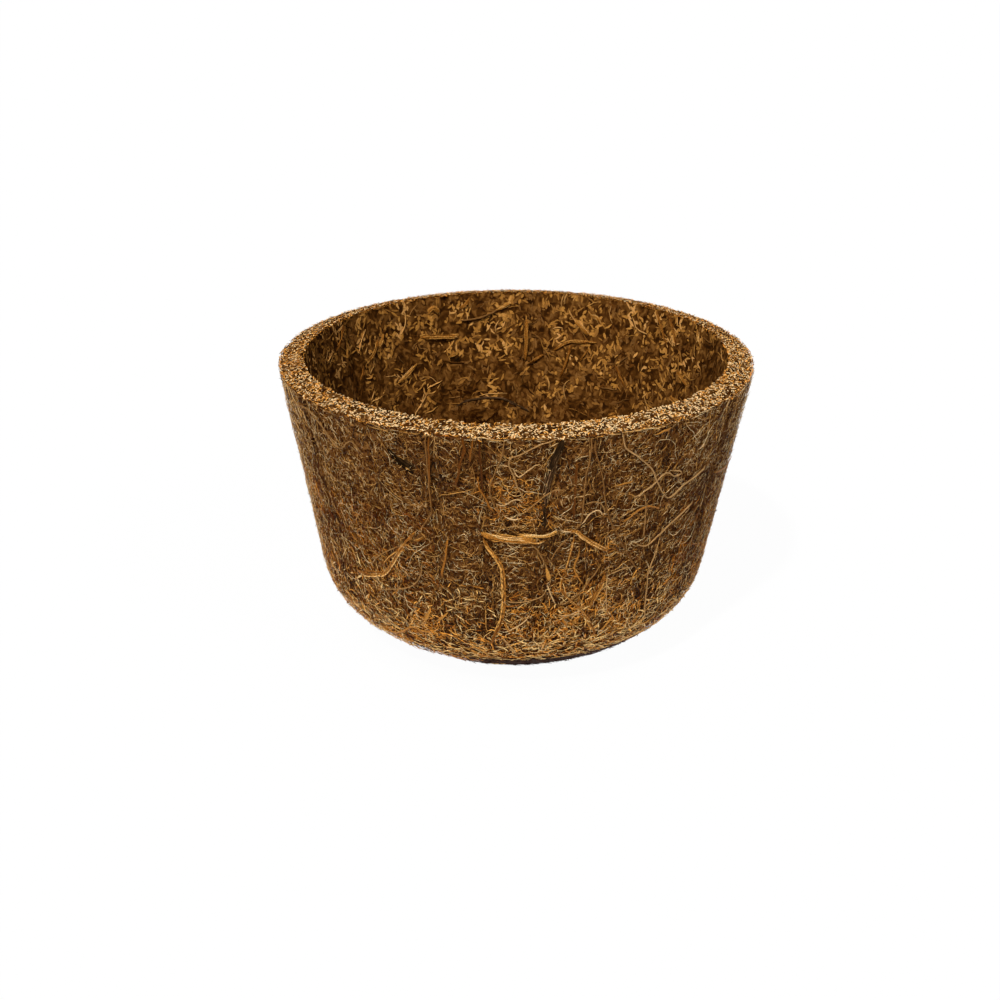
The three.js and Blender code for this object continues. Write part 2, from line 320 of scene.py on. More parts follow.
def fibre_mat_tree():
    """Geometry nodes that lay curled fibres on a face turned from a section."""
    tree = bpy.data.node_groups.new("fibre_mat", "GeometryNodeTree")
    tree.interface.new_socket("Fibres", in_out="OUTPUT", socket_type="NodeSocketGeometry")
    for kind, labels in fibre_inputs.items():
        for label in labels:
            tree.interface.new_socket(label, in_out="INPUT", socket_type="NodeSocket" + kind)
    given = {socket.name: Figure(socket) for socket in tree.nodes.new("NodeGroupInput").outputs if socket.name}

    def add(kind, feeds, output=0, **settings):
        return wired(tree, kind, feeds, output, **settings)

    def vector(x, y, z):
        return add("ShaderNodeCombineXYZ", {0: x, 1: y, 2: z})

    def parts_of(value):
        return add("ShaderNodeSeparateXYZ", {0: value}, ("X", "Y", "Z"))

    def blend(share, low, high):
        return share * (high - low) + low

    def span(share, label):
        return blend(share, given[label + " from"], given[label + " to"])

    def rises(value, low, high):
        feeds = {"Value": value, "From Min": low, "From Max": high}
        return add("ShaderNodeMapRange", feeds, "Result", interpolation_type="SMOOTHSTEP")

    # One point for each step along each fibre
    points = add("GeometryNodePoints", {"Count": given["Fibres"] * given["Points"]})
    index = add("GeometryNodeInputIndex", {})
    fibre = reckon("FLOOR", (index + 0.5) / given["Points"])
    step = index - fibre * given["Points"]
    steps = given["Points"] - 1
    along = step / steps

    def draw(number, low=0.0, high=1.0):
        """A random figure for each fibre. Each kind has a number of its own, and seeds lie well apart."""
        feeds = {2: low, 3: high, "ID": fibre, "Seed": given["Seed"] * 53 + number}
        return add("FunctionNodeRandomValue", feeds, 1, data_type="FLOAT")

    def wander(number, waves):
        """A smooth random wander along each fibre, from about -1 to 1."""
        between_fibres, stretch = 7.31, 3.2
        place = vector(along * waves, fibre * between_fibres, number)
        noise_there = add("ShaderNodeTexNoise", {"Vector": place, "Scale": 1.0, "Detail": 1.0}, "Fac")
        return (noise_there - 0.5) * stretch

    def on_section(up):
        section = add("GeometryNodeObjectInfo", {"Object": given["Section"]}, "Geometry")
        feeds = {"Curves": section, "Length": up, "Curve Index": 0}
        return add("GeometryNodeSampleCurve", feeds, ("Position", "Tangent"), mode="LENGTH")

    def round_pot(radius, turn, height):
        sine, cosine = reckon("SINE", turn), reckon("COSINE", turn)
        return vector(height * lean + radius * sine, radius * (cosine * -1), height)

    # Where each fibre's middle lies, and how near a pleat that is
    middle_turn = draw(1, given["Turn from"], given["Turn to"])
    middle_up = span(draw(2) ** given["Up crowding"], "Up")
    middle_spot, middle_slope = on_section(middle_up)
    middle_radius, _, middle_height = parts_of(middle_spot)
    middle_place = round_pot(middle_radius, middle_turn, middle_height)
    creases = add("GeometryNodeObjectInfo", {"Object": given["Pleats"]}, "Geometry")

    def from_crease(place):
        feeds = {"Target": creases, "Source Position": place}
        return add("GeometryNodeProximity", feeds, "Distance", target_element="EDGES")

    near = (1.0 - rises(from_crease(middle_place), *pleat_pull_reach)) * given["Pleat pull"]

    # Which way it heads: level is 0 and straight up is a quarter turn
    length = span(draw(3) ** share_of_short_ones, "Length")
    spread = draw(4) + draw(5) + draw(6) - 1.5
    laid = spread * given["Lay spread"] + middle_turn * given["Lay"]
    pulled = draw(7) < near
    heading = blend(pulled, laid, spread * gathered_spread + math.pi / 2)
    stray = draw(8) < given["Stray share"]
    heading = blend(stray * (1.0 - pulled), heading, draw(9, 0, 2 * math.pi))
    bend = draw(10) ** 1.5 * given["Curl"] * reckon("SIGN", draw(11, -1.0, 1.0))
    bend = bend * (1.0 - pulled * gathered_straightness)
    heading = bend * ((along - 0.5) * length) + heading
    heading = wander(3.7, 4.0) * given["Wave"] + heading

    # Each step walks on by its heading; the sum of steps gives the fibre's own path
    stride = length / steps
    stepped = vector(stride * reckon("COSINE", heading), stride * reckon("SINE", heading), 0.0)
    path = add(
        "GeometryNodeAccumulateField", {0: stepped, 1: fibre}, ("Trailing", "Total"), data_type="FLOAT_VECTOR")
    (aside_so_far, up_so_far, _), (aside_in_all, up_in_all, _) = map(parts_of, path)
    aside = aside_in_all * -0.5 + aside_so_far
    upward = up_in_all * -0.5 + up_so_far

    # The face there unrolls as a cone, so the path keeps its shape on wall, heel and base
    steepness = reckon("MAXIMUM", parts_of(middle_slope)[0], 0.05)
    from_apex = middle_radius / steepness
    reached = from_apex + upward
    turn = middle_turn + reckon("ARCTAN2", aside, reached) / steepness
    up = middle_up + (reckon("SQRT", reached * reached + aside * aside) - from_apex)
    up = given["Up end"] - reckon("ABSOLUTE", given["Up end"] - up)

    # Onto the pot: round by its turn, up its section, and off the face by its lift
    spot, slope = on_section(up)
    spot_radius, _, spot_height = parts_of(spot)
    slope_out, _, slope_up = parts_of(slope)
    to_crease = from_crease(round_pot(spot_radius, turn, spot_height))
    sink = (1.0 - rises(to_crease, 0.0, pleat_width * 0.7)) * pleat_depth
    sink = sink * rises(spot_height, pleat_foot, pleat_full)
    lift_share = draw(12)
    lift = wander(9.2, 3.0) * given["Lift wave"] + span(lift_share, "Lift")
    lift = along ** 2.0 * (draw(13) ** given["Standing rarity"] * given["Standing end"]) + lift
    outward = given["Side"] * (lift - sink)
    height = reckon("MAXIMUM", spot_height - slope_out * outward, table_clearance)
    place = round_pot(slope_up * outward + spot_radius, turn, height)
    bed = add("GeometryNodeSetPosition", {"Geometry": points, "Position": place})

    # Deep fibres are painted darker and proud ones paler, as shade among the fibres; pale ones are thinner, and
    # all taper a little at both ends
    tone = (lift_share - 0.5) * given["Tone by lift"] + span(draw(15), "Tone")
    # Painted shade down the face: with Shade by height, fibres lower on it are darker
    way_up = rises(middle_up, given["Up from"], given["Up to"])
    tone = (way_up - 0.5) * given["Tone by height"] + tone
    # Painted shade in the pleats: fibres near a crease are darker
    tone = near * given["Tone at pleats"] + tone
    patch = add("ShaderNodeTexNoise", {
        "Vector": middle_place, "Scale": given["Patches per metre"], "Detail": 1.0}, "Fac")
    tone = (patch - 0.5) * given["Patchiness"] + tone
    tone = reckon("MINIMUM", reckon("MAXIMUM", tone, 0.01), 0.97)
    ends = reckon("ABSOLUTE", along * 2.0 - 1.0) ** 4.0
    thick = span(draw(14) ** share_of_thin_ones, "Thickness") * (ends * -end_taper + 1.0)
    thick = thick * (rises(tone, palest_from, 1.0) * given["Pale thinning"] + 1.0)

    def store(geometry, label, value, kind="FLOAT", domain="POINT"):
        feeds = {"Geometry": geometry, "Name": label, "Value": value}
        return add("GeometryNodeStoreNamedAttribute", feeds, data_type=kind, domain=domain)

    def stored(label, kind="FLOAT"):
        return add("GeometryNodeInputNamedAttribute", {"Name": label}, data_type=kind)

    # What the sweep needs is kept on the points, because curves have an order of their own
    off_face = vector(
        slope_up * reckon("SINE", turn), slope_up * (reckon("COSINE", turn) * -1), slope_out * -1)
    bed = store(bed, "off_face", off_face, "FLOAT_VECTOR")
    for label, value in (("fibre", fibre), ("step", step), ("along", along), ("thick", thick), ("tone", tone)):
        bed = store(bed, label, value)
    curves = add("GeometryNodePointsToCurves", {
        "Points": bed, "Curve Group ID": stored("fibre"), "Weight": stored("step")})
    curves = add("GeometryNodeSetCurveNormal", {
        "Curve": curves, "Normal": stored("off_face", "FLOAT_VECTOR")}, mode="FREE")
    ring = add("GeometryNodeCurvePrimitiveCircle", {"Resolution": 3, "Radius": 1.0}, mode="RADIUS")
    ring = add("GeometryNodeTransform", {"Geometry": ring, "Scale": vector(given["Flatness"], 1.0, 1.0)})
    ring = store(ring, "around", add("GeometryNodeSplineParameter", {}, "Factor"))
    swept = add("GeometryNodeCurveToMesh", {
        "Curve": curves, "Profile Curve": ring, "Scale": stored("thick"), "Fill Caps": True})
    laid_out = vector(stored("around") * streak_across + stored("tone"), stored("along"), 0.0)
    swept = store(swept, "OFBake", laid_out, "FLOAT2", "CORNER")
    for label in ("off_face", "fibre", "step", "along", "thick", "tone", "around"):
        swept = add("GeometryNodeRemoveAttribute", {"Geometry": swept, "Name": label})
    # Flat shreds keep crisp faces, which stops their thin edges from shading like a tube
    rounded = reckon("GREATER_THAN", given["Flatness"], flattest_round_one)
    smooth = add("GeometryNodeSetShadeSmooth", {"Geometry": swept, "Shade Smooth": rounded})
    real = add("GeometryNodeRealizeInstances", {"Geometry": smooth})
    dressed = add("GeometryNodeSetMaterial", {"Geometry": real, "Material": given["Material"]})
    feed(tree.nodes.new("NodeGroupOutput"), {0: dressed})
    return tree


def guide_line(name, places):
    """An open line that the tree samples, drawn through (x, y, z) points."""
    curve = bpy.data.curves.new(name, "CURVE")
    curve.dimensions = "3D"
    spline = curve.splines.new("POLY")
    spline.points.add(len(places) - 1)
    for point, place in zip(spline.points, places):
        point.co = (*place, 1)
    return put_in_scene(name, curve)


def section_line(name, depth):
    """A face's section as a guide, and its length from the axis to the rim."""
    face = section_face(depth)
    length = sum(math.dist(a, b) for a, b in zip(face, face[1:]))
    return guide_line(name, [(radius, 0, height) for radius, height in face]), length


def pleat_creases(name, pleats, depth):
    """Each pleat's crease on a face, from where it fades up to the rim, as edges to measure from."""
    rows = section_face(depth)[-wall_steps - 1::4]
    places, edges = [], []
    for at_rim, drift, _ in pleats:
        first = len(places)
        for radius, height in rows:
            leaning = (pot_height - height) / (pot_height - wall_foot_height)
            places.append(round_the_pot(radius, math.radians(at_rim + drift * leaning), height))
        edges += [(corner, corner + 1) for corner in range(first, len(places) - 1)]
    mesh = bpy.data.meshes.new(name)
    mesh.from_pydata(places, edges, [])
    return put_in_scene(name, mesh)


def mms(*sizes):
    """Sizes that are given in millimetres."""
    return tuple(size * mm for size in sizes)


def degrees(*turns):
    """Turns that are given in degrees."""
    return tuple(math.radians(turn) for turn in turns)


def lay_fibres(name, slot, material, sizes):
    """Runs the tree with these sizes and keeps its result as a plain mesh."""
    holder = put_in_scene(name + "_bed", bpy.data.meshes.new(name + "_bed"))
    laying = holder.modifiers.new("fibres", "NODES")
    laying.node_group = fibre_mat
    sockets = {item.name: item.identifier for item in fibre_mat.interface.items_tree if item.in_out == "INPUT"}
    for label, value in {**plain_lay, **sizes, "material": material}.items():
        label = label.replace("_", " ").capitalize()
        if isinstance(value, tuple):
            laying[sockets[label + " from"]], laying[sockets[label + " to"]] = value
        else:
            laying[sockets[label]] = value
    settled = holder.evaluated_get(bpy.context.evaluated_depsgraph_get())
    mesh = bpy.data.meshes.new_from_object(settled)
    mesh.name = name
    bpy.data.objects.remove(holder)
    keep_piece(name, slot, mesh)


def coir(name, tones, roughness, unevenness=0.8, gloss=0.05, grain=(260, 9, 1)):
    """Single coconut fibres. Across its own map a fibre's tone, and up it the way along the fibre."""
    worn_by, latex_sheen = 0.12, (1.0, 0.66, 0.36, 1)
    material, tree, shader = new_finish(name)
    place = wired(tree, "ShaderNodeUVMap", {}, "UV", uv_map="OFBake")
    colour = tone_ramp(tree, wired(tree, "ShaderNodeSeparateXYZ", {"Vector": place}, "X"), tones)
    stretched = wired(tree, "ShaderNodeMapping", {"Vector": place, "Scale": grain})
    mottled = wired(tree, "ShaderNodeTexNoise", {"Vector": stretched, "Scale": 1.0, "Detail": 2.0}, "Fac")
    shade = ranged(tree, mottled, (0.36, 0.64), (1 - unevenness, 1 + 0.3 * unevenness))
    coloured = wired(tree, "ShaderNodeVectorMath", {0: colour, "Scale": shade}, operation="SCALE")
    worn = ranged(tree, mottled, (0, 1), (roughness - worn_by, roughness + worn_by))
    feed(shader, {
        "Base Color": coloured, "Roughness": worn, "Specular IOR Level": gloss, "Specular Tint": latex_sheen,
    })
    return material


fibre_mat = fibre_mat_tree()
outer_section, outer_length = section_line("outer_section", 0.0)
outer_creases = pleat_creases("outer_creases", outer_pleats, 0.0)
wall_foot_up = outer_length - math.dist(section_face(0)[-wall_steps - 1], section_face(0)[-1])
plain_lay = dict(
    section=outer_section, pleats=outer_creases, fibres=3000, points=4, turn=degrees(-180, 180),
    up=(wall_foot_up - 6 * mm, outer_length), up_crowding=1.0, up_end=outer_length,
    length=mms(0.5, 2.2), thickness=mms(0.06, 0.14), flatness=0.5, pale_thinning=-0.3,
    lay=1.0, lay_spread=1.3, stray_share=0.35, pleat_pull=0.6, curl=2400.0, wave=0.9,
    lift=mms(-0.5, 0.25), lift_wave=0.16 * mm, standing_end=0.6 * mm, standing_rarity=6.0,
    tone=(-0.17, 1.09), tone_by_lift=1.15, tone_by_height=0.0, tone_at_pleats=-0.35,
    patches_per_metre=75.0, patchiness=0.4, side=1.0, seed=1,
)
outer_tones = (
    (0.0, 0.015, 0.0022, 0.0001), (0.18, 0.06, 0.012, 0.0008), (0.3, 0.16, 0.037, 0.002),
    (0.39, 0.25, 0.09, 0.009), (0.49, 0.41, 0.172, 0.03), (0.57, 0.56, 0.265, 0.06),
    (0.65, 0.65, 0.305, 0.063), (0.72, 0.76, 0.36, 0.078), (0.79, 0.88, 0.46, 0.13),
    (0.88, 1.0, 0.6, 0.22), (1.0, 1.0, 0.74, 0.39),
)
outer_fibre = coir("outer_fibre", outer_tones, 0.38, 0.9, 0.25, (260, 11, 1))
outer_sectors = 5
for sector in range(outer_sectors):
    start = -180 + 360 / outer_sectors * sector
    lay_fibres(f"outer_matted_fibres_{sector + 1}", "outer_felt", outer_fibre, dict(
        fibres=10200, points=3, turn=degrees(start, start + 360 / outer_sectors), seed=1 + sector))
for half in range(2):
    turn = degrees(-180 + 180 * half, 180 * half)
    lay_fibres(f"outer_curled_fibres_{half + 1}", "outer_felt", outer_fibre, dict(
        fibres=4300, turn=turn, length=mms(1.5, 4), curl=1500.0, seed=8 + half))
    lay_fibres(f"outer_long_fibres_{half + 1}", "outer_felt", outer_fibre, dict(
        fibres=1100, points=7, turn=turn, length=mms(4, 11), thickness=mms(0.07, 0.16), lay_spread=1.0,
        curl=450.0, wave=0.6, lift=mms(-0.3, 0.25), tone=(0.1, 0.85), seed=11 + half))

# The heel and underside: here the felt was pressed hardest against the die, so its
# fibres lie flat and mostly round the pot, and more of the pale golden ones show. Near
# the table they are painted darker, and nearly black under the front: painted shade
# where the pot stands on the table.
heel_tones = (
    (0.0, 0.03, 0.004, 0.0001), (0.16, 0.12, 0.02, 0.0012), (0.3, 0.32, 0.087, 0.007),
    (0.45, 0.6, 0.2, 0.02), (0.6, 0.86, 0.32, 0.038), (0.74, 1.0, 0.405, 0.06),
    (0.86, 1.0, 0.49, 0.1), (1.0, 1.0, 0.67, 0.27),
)
heel_fibre = coir("heel_fibre", heel_tones, 0.4, 0.85, 0.15)
heel_foot_up = underside_centre_radius + underside_radius * math.cos(underside_turn)
heel_lay = dict(
    length=mms(1.2, 4.5), thickness=mms(0.1, 0.32), flatness=0.24, lay=0.0, lay_spread=0.8, stray_share=0.2,
    pleat_pull=0.0, curl=350.0, wave=0.5, lift=mms(-0.5, 0.3), tone=(-0.1, 1.1), tone_by_lift=1.7,
    pale_thinning=0.0, patches_per_metre=110.0, patchiness=0.9,
)
# The lowest band is painted darker than the heel above it, as shade where it turns under towards the table; it
# leaves out the front, where the nearly black ones lie
# Groups that overlap over narrowing spans of turn, so that they thin out at their ends
for number, (turn, count) in enumerate((((58, 350), 2400), ((46, 357), 900), ((36, 364), 500))):
    lay_fibres(f"heel_foot_fibres_{number + 1}", "outer_felt", heel_fibre, dict(
        heel_lay, fibres=count, turn=degrees(*turn), up=(heel_foot_up - 1 * mm, heel_foot_up + 21 * mm),
        tone=(-0.1, 0.7), tone_by_lift=0.8, seed=30 + number))
# Nearly black fibres under the front: painted shade where the heel turns under towards the table, in overlapping
# spans so that it fades at the sides
shade_slant = 0.3
for number, (margin, count) in enumerate(((-8, 500), (0, 800), (8, 900))):
    lay_fibres(f"heel_shaded_fibres_{number + 1}", "outer_felt", heel_fibre, dict(
        heel_lay, fibres=count, turn=degrees(-12 + margin, 60 - margin),
        up=(heel_foot_up + 6 * mm - margin * shade_slant * mm, heel_foot_up + 20 * mm), lift=mms(-0.3, 0.3),
        tone=(-0.1, 0.06), tone_by_lift=0.0, patchiness=0.0, seed=26 + number))
lay_fibres("heel_low_fibres", "outer_felt", heel_fibre, dict(
    heel_lay, fibres=2900, up=(heel_foot_up + 20 * mm, heel_foot_up + 31 * mm), up_crowding=1.5, seed=22))
lay_fibres("heel_high_fibres", "outer_felt", heel_fibre, dict(
    heel_lay, fibres=6200, up=(heel_foot_up + 22 * mm, wall_foot_up + 14 * mm), up_crowding=1.9,
    length=mms(1.2, 4), thickness=mms(0.08, 0.22), lay_spread=1.8, stray_share=0.6, tone=(-0.1, 0.94), seed=23))
# The underside is painted darker too, as shade under the pot
lay_fibres("underside_fibres", "outer_felt", heel_fibre, dict(
    fibres=1600, up=(0.0, heel_foot_up), up_crowding=0.5, length=mms(3, 9), thickness=mms(0.1, 0.25),
    lay=0.0, stray_share=1.0, pleat_pull=0.0, curl=350.0, lift=mms(-0.5, -0.15), lift_wave=0.05 * mm,
    standing_end=0.0, tone=(0.05, 0.5), tone_by_lift=0.2, patchiness=0.3, seed=25))


# Golden and rusty patches: where a lump of younger husk went through the carding, short
# golden fibres crowd together on the face, and older husk leaves it rusty over wider
# areas. They are pressed and latexed like the rest.
def up_at(depth, height):
    """How far along a face's section, from the axis, it reaches a height."""
    gone = 0
    face = section_face(depth)
    for low, high in zip(face, face[1:]):
        if low[1] < high[1] and height <= high[1]:
            return gone + math.dist(low, high) * (height - low[1]) / (high[1] - low[1])
        gone += math.dist(low, high)
    return gone


def lay_patches(name, slot, material, depth, sizes, patches):
    """Crowds of fibres round places: degrees right of the front, mm up, reach in both, how many."""
    for number, (turn, height, turn_reach, reach, count) in enumerate(patches):
        middle = up_at(depth, height * mm)
        lay_fibres(f"{name}_{number + 1}", slot, material, dict(
            sizes, fibres=count, seed=70 + number, turn=degrees(turn - turn_reach, turn + turn_reach),
            up=(middle - reach * mm, middle + reach * mm)))


lay_patches("outer_golden_patch", "outer_felt", heel_fibre, 0.0, dict(
    length=mms(0.8, 3), thickness=mms(0.06, 0.16), lay_spread=1.6, curl=900.0, lift=mms(-0.1, 0.25),
    tone=(0.25, 0.95), tone_by_lift=0.3, tone_at_pleats=0.0,
), (
    (-3, 61, 6, 6, 150), (5, 58, 4, 5, 90), (20.5, 29.5, 6, 6, 200), (-25, 20.5, 5, 4, 130), (-33.5, 37, 4, 4, 80),
    (8, 24, 9, 5, 260), (21, 44.5, 4, 4, 60), (33, 22, 7, 5, 120), (12, 36, 4, 4, 50),
))
for number, (turn, count) in enumerate((((-72, -20), 1300), ((45, 80), 800))):
    lay_fibres(f"outer_rusty_fibres_{number + 1}", "outer_felt", heel_fibre, dict(
        fibres=count, turn=degrees(*turn), up=(up_at(0, 13 * mm), up_at(0, 54 * mm)), length=mms(0.8, 3.5),
        thickness=mms(0.08, 0.18), lift=mms(-0.15, 0.2), curl=900.0, tone=(0.12, 0.44), tone_by_lift=0.3,
        seed=88 + number))

# The inner ply: the same felt, nested in the outer one and pressed to it by the punch. Its
# face is darker and looser, with flat golden shreds of husk among the fibres.
inner_pleats = (
    (-158, 2, 0.8), (-121, -2, 1), (-88, 2, 0.7), (-47, 3, 1), (-12, -2, 0.8), (26, 2, 0.9),
    (67, -2, 0.8), (101, 2, 1), (138, -3, 0.8), (173, 2, 1),
)
inner_felt_finish = pressed_felt("inner_felt_dark", 440, (
    (0.34, 0.025, 0.008, 0.001), (0.43, 0.046, 0.015, 0.002), (0.5, 0.08, 0.028, 0.004),
    (0.57, 0.13, 0.05, 0.009), (0.66, 0.2, 0.082, 0.017),
))
inner_felt_mesh = felt_body(
    "inner_felt_body", inner_felt_finish, wall_thickness - 0.4 * mm, ply_thickness, inner_pleats, 0.1 * mm)
keep_piece("inner_felt_body", "inner_felt", inner_felt_mesh, "inner_felt")

inner_section, inner_length = section_line("inner_section", wall_thickness)
inner_creases = pleat_creases("inner_creases", inner_pleats, wall_thickness)
inner_floor_up = section_face(wall_thickness)[flat_steps][0]
inner_tones = (
    (0.0, 0.02, 0.005, 0.0005), (0.2, 0.065, 0.02, 0.0025), (0.4, 0.14, 0.05, 0.009),
    (0.52, 0.22, 0.096, 0.024), (0.66, 0.34, 0.142, 0.027), (0.8, 0.48, 0.21, 0.038),
    (0.92, 0.62, 0.29, 0.066), (1.0, 0.74, 0.37, 0.11),
)
inner_fibre = coir("inner_fibre", inner_tones, 0.7, 0.3, 0.02, (170, 4, 1))
# Inside, the fibres are painted darker lower down, as shade deeper in the pot
inner_lay = dict(
    section=inner_section, pleats=inner_creases, side=-1.0, up=(inner_floor_up, inner_length),
    up_end=inner_length, lay=0.5, stray_share=0.85, lift=mms(-0.42, -0.28), pleat_pull=0.4,
    lift_wave=0.02 * mm, standing_end=0.0, tone_by_height=0.85, tone_by_lift=0.1,
    patches_per_metre=170.0, patchiness=2.1, pale_thinning=0.0,
)
shred_lay = dict(inner_lay, thickness=mms(0.24, 0.6), flatness=0.12, curl=250.0)
lay_fibres("inner_shreds", "inner_felt", inner_fibre, dict(
    shred_lay, fibres=13000, points=3, length=mms(0.9, 2.8), wave=0.4, tone=(0.23, 0.37), seed=41))
lay_fibres("inner_long_fibres", "inner_felt", inner_fibre, dict(
    inner_lay, fibres=600, points=6, length=mms(3, 9), thickness=mms(0.14, 0.32), flatness=0.3,
    curl=280.0, wave=0.5, lift=mms(-0.42, -0.2), tone=(0.2, 0.65), seed=42))
lay_patches("inner_golden_patch", "inner_felt", inner_fibre, wall_thickness, dict(
    shred_lay, length=mms(0.8, 2.4), curl=300.0, lift=mms(-0.36, -0.2), tone=(0.62, 0.92),
    tone_by_height=0.0, patchiness=0.3,
), (
    (-154.5, 74, 2, 2, 12), (-136, 70, 4, 5, 30), (178, 67, 5, 5, 30), (169, 50.5, 4, 4, 16), (124, 61, 5, 7, 36),
    (121, 73.5, 4, 3, 18), (156.5, 67, 5, 5, 30), (-175.5, 72.5, 4, 4, 20), (-149, 69.5, 4, 4, 22),
    (147, 60.5, 4, 5, 22), (133.5, 52.5, 4, 4, 18), (165, 73, 3, 3, 14),
))
lay_fibres("inner_floor_shreds", "inner_felt", inner_fibre, dict(
    shred_lay, fibres=3000, points=3, up=(0.0, inner_floor_up + 2 * mm), up_crowding=0.5,
    length=mms(0.9, 3.2), flatness=0.26, stray_share=1.0, pleat_pull=0.0, tone_by_height=0.0,
    tone=(0.2, 0.5), seed=43))

# The trimmed rim: a knife cut both plies square to the wall, so its face is a bed of
# short pale stubs, the cut ends of fibres, with a few tufts standing at its edges.
outer_edge = (rim_radius, 0, outer_rim_height)
inner_edge = (rim_radius - wall_thickness * math.cos(flare), 0, pot_height)
rim_section = guide_line("rim_section", [inner_edge, outer_edge])
rim_tones = (
    (0.0, 0.025, 0.004, 0.0002), (0.2, 0.12, 0.028, 0.002), (0.34, 0.44, 0.135, 0.011),
    (0.48, 0.84, 0.32, 0.035), (0.64, 1.0, 0.4, 0.055), (0.82, 1.0, 0.46, 0.095),
    (0.94, 1.0, 0.54, 0.155), (1.0, 1.0, 0.78, 0.45),
)
rim_fibre = coir("rim_fibre", rim_tones, 0.5, 0.3, 0.15)
rim_lay = dict(
    section=rim_section, side=-1.0, up=(0.0, wall_thickness), up_end=wall_thickness,
    lay=0.0, lay_spread=2.0, stray_share=0.8, pleat_pull=0.0, standing_rarity=1.0,
)
# The front stretch is painted paler, with its deeper stubs darker: a painted highlight where the light catches the
# front of the rim
for number, (turn, count, palest, by_lift) in enumerate((
    ((-50, 50), 3700, 1.2, 1.4), ((50, 310), 9300, 1.0, 0.9),
)):
    lay_fibres(f"rim_cut_ends_{number + 1}", "outer_felt", rim_fibre, dict(
        rim_lay, fibres=count, points=2, turn=degrees(*turn), length=mms(0.3, 1.0), thickness=mms(0.26, 0.56),
        flatness=0.22, wave=0.0, curl=0.0, lift=mms(-0.5, 0.25), lift_wave=0.0, standing_end=0.2 * mm,
        tone=(0.34, palest), tone_by_lift=by_lift, patchiness=0.3, pale_thinning=0.0, seed=61 + 3 * number))
lay_fibres("rim_loose_ends", "outer_felt", rim_fibre, dict(
    rim_lay, fibres=1500, length=mms(0.8, 2.6), thickness=mms(0.07, 0.14), wave=0.6, curl=900.0,
    lift=mms(-0.1, 0.25), lift_wave=0.1 * mm, standing_end=0.35 * mm, tone=(-0.17, 0.8), seed=62))
lay_fibres("rim_edge_fibres", "outer_felt", outer_fibre, dict(
    fibres=130, points=6, up=(outer_length - 0.9 * mm, outer_length), length=mms(3, 9),
    thickness=mms(0.08, 0.2), lay=0.0, lay_spread=0.12, stray_share=0.0, pleat_pull=0.0, curl=60.0, wave=0.25,
    lift=mms(-0.2, 0.15), tone=(0.3, 0.65), tone_at_pleats=0.0, seed=63))

for guide in (outer_section, outer_creases, inner_section, inner_creases, rim_section):
    bpy.data.objects.remove(guide)


# The ribbons of husk skin: golden strips that the carding left whole. They are flat and
# split along their grain, and the latex holds them on top of the fibres.
def on_face(turn, height, lift, inside):
    """A place at a lift off the outer or inner face, and that face's outward direction."""
    depth = wall_thickness if inside else 0
    heel = heel_radius - depth
    underside = underside_radius - depth
    heel_foot_height = heel_centre_height - heel * math.sin(heel_turn)
    if height > heel_centre_height - heel * math.sin(flare):
        slant = flare
        radius = rim_radius - depth / math.cos(flare) - (outer_rim_height - height) * math.tan(flare)
    elif height > heel_foot_height:
        slant = math.asin((heel_centre_height - height) / heel)
        radius = heel_centre_radius + heel * math.cos(slant)
    else:
        slant = math.asin(min(1, (underside_centre_height - height) / underside))
        radius = underside_centre_radius + underside * math.cos(slant)
    side = -1 if inside else 1
    outward = Vector((math.cos(slant) * math.sin(turn), -math.cos(slant) * math.cos(turn), -math.sin(slant)))
    return round_the_pot(radius, turn, height) + outward * side * lift, outward * side


def walked_route(route, inside):
    """The route as close-set (turn, height) places on a smooth curve, and its length."""
    corners = [Vector((math.radians(turn), height * mm)) for turn, height in route]
    corners = [2 * corners[0] - corners[1], *corners, 2 * corners[-1] - corners[-2]]
    steps, pitch = 12, 0.35 * mm
    fine = []
    for before, start, end, after in zip(corners, corners[1:], corners[2:], corners[3:]):
        for step in range(steps):
            t = step / steps
            fine.append(0.5 * (
                2 * start + (end - before) * t + (2 * before - 5 * start + 4 * end - after) * t ** 2
                + (3 * start - before - 3 * end + after) * t ** 3))
    fine.append(corners[-2])
    spots = [on_face(turn, height, 0, inside)[0] for turn, height in fine]
    gone = [0.0]
    for a, b in zip(spots, spots[1:]):
        gone.append(gone[-1] + (b - a).length)
    count = max(6, round(gone[-1] / pitch))
    walked = []
    at = 0
    for step in range(count + 1):
        want = gone[-1] * step / count
        while at < len(gone) - 2 and gone[at + 1] < want:
            at += 1
        share = (want - gone[at]) / max(1e-9, gone[at + 1] - gone[at])
        walked.append(fine[at].lerp(fine[at + 1], share))
    return walked, gone[-1]


def wobble(along, period, seed):
    """A smooth wander from -1 to 1 along a strand."""
    between_strands = 7.7
    return noise.noise(Vector((along / period, seed * between_strands, 0.3)))


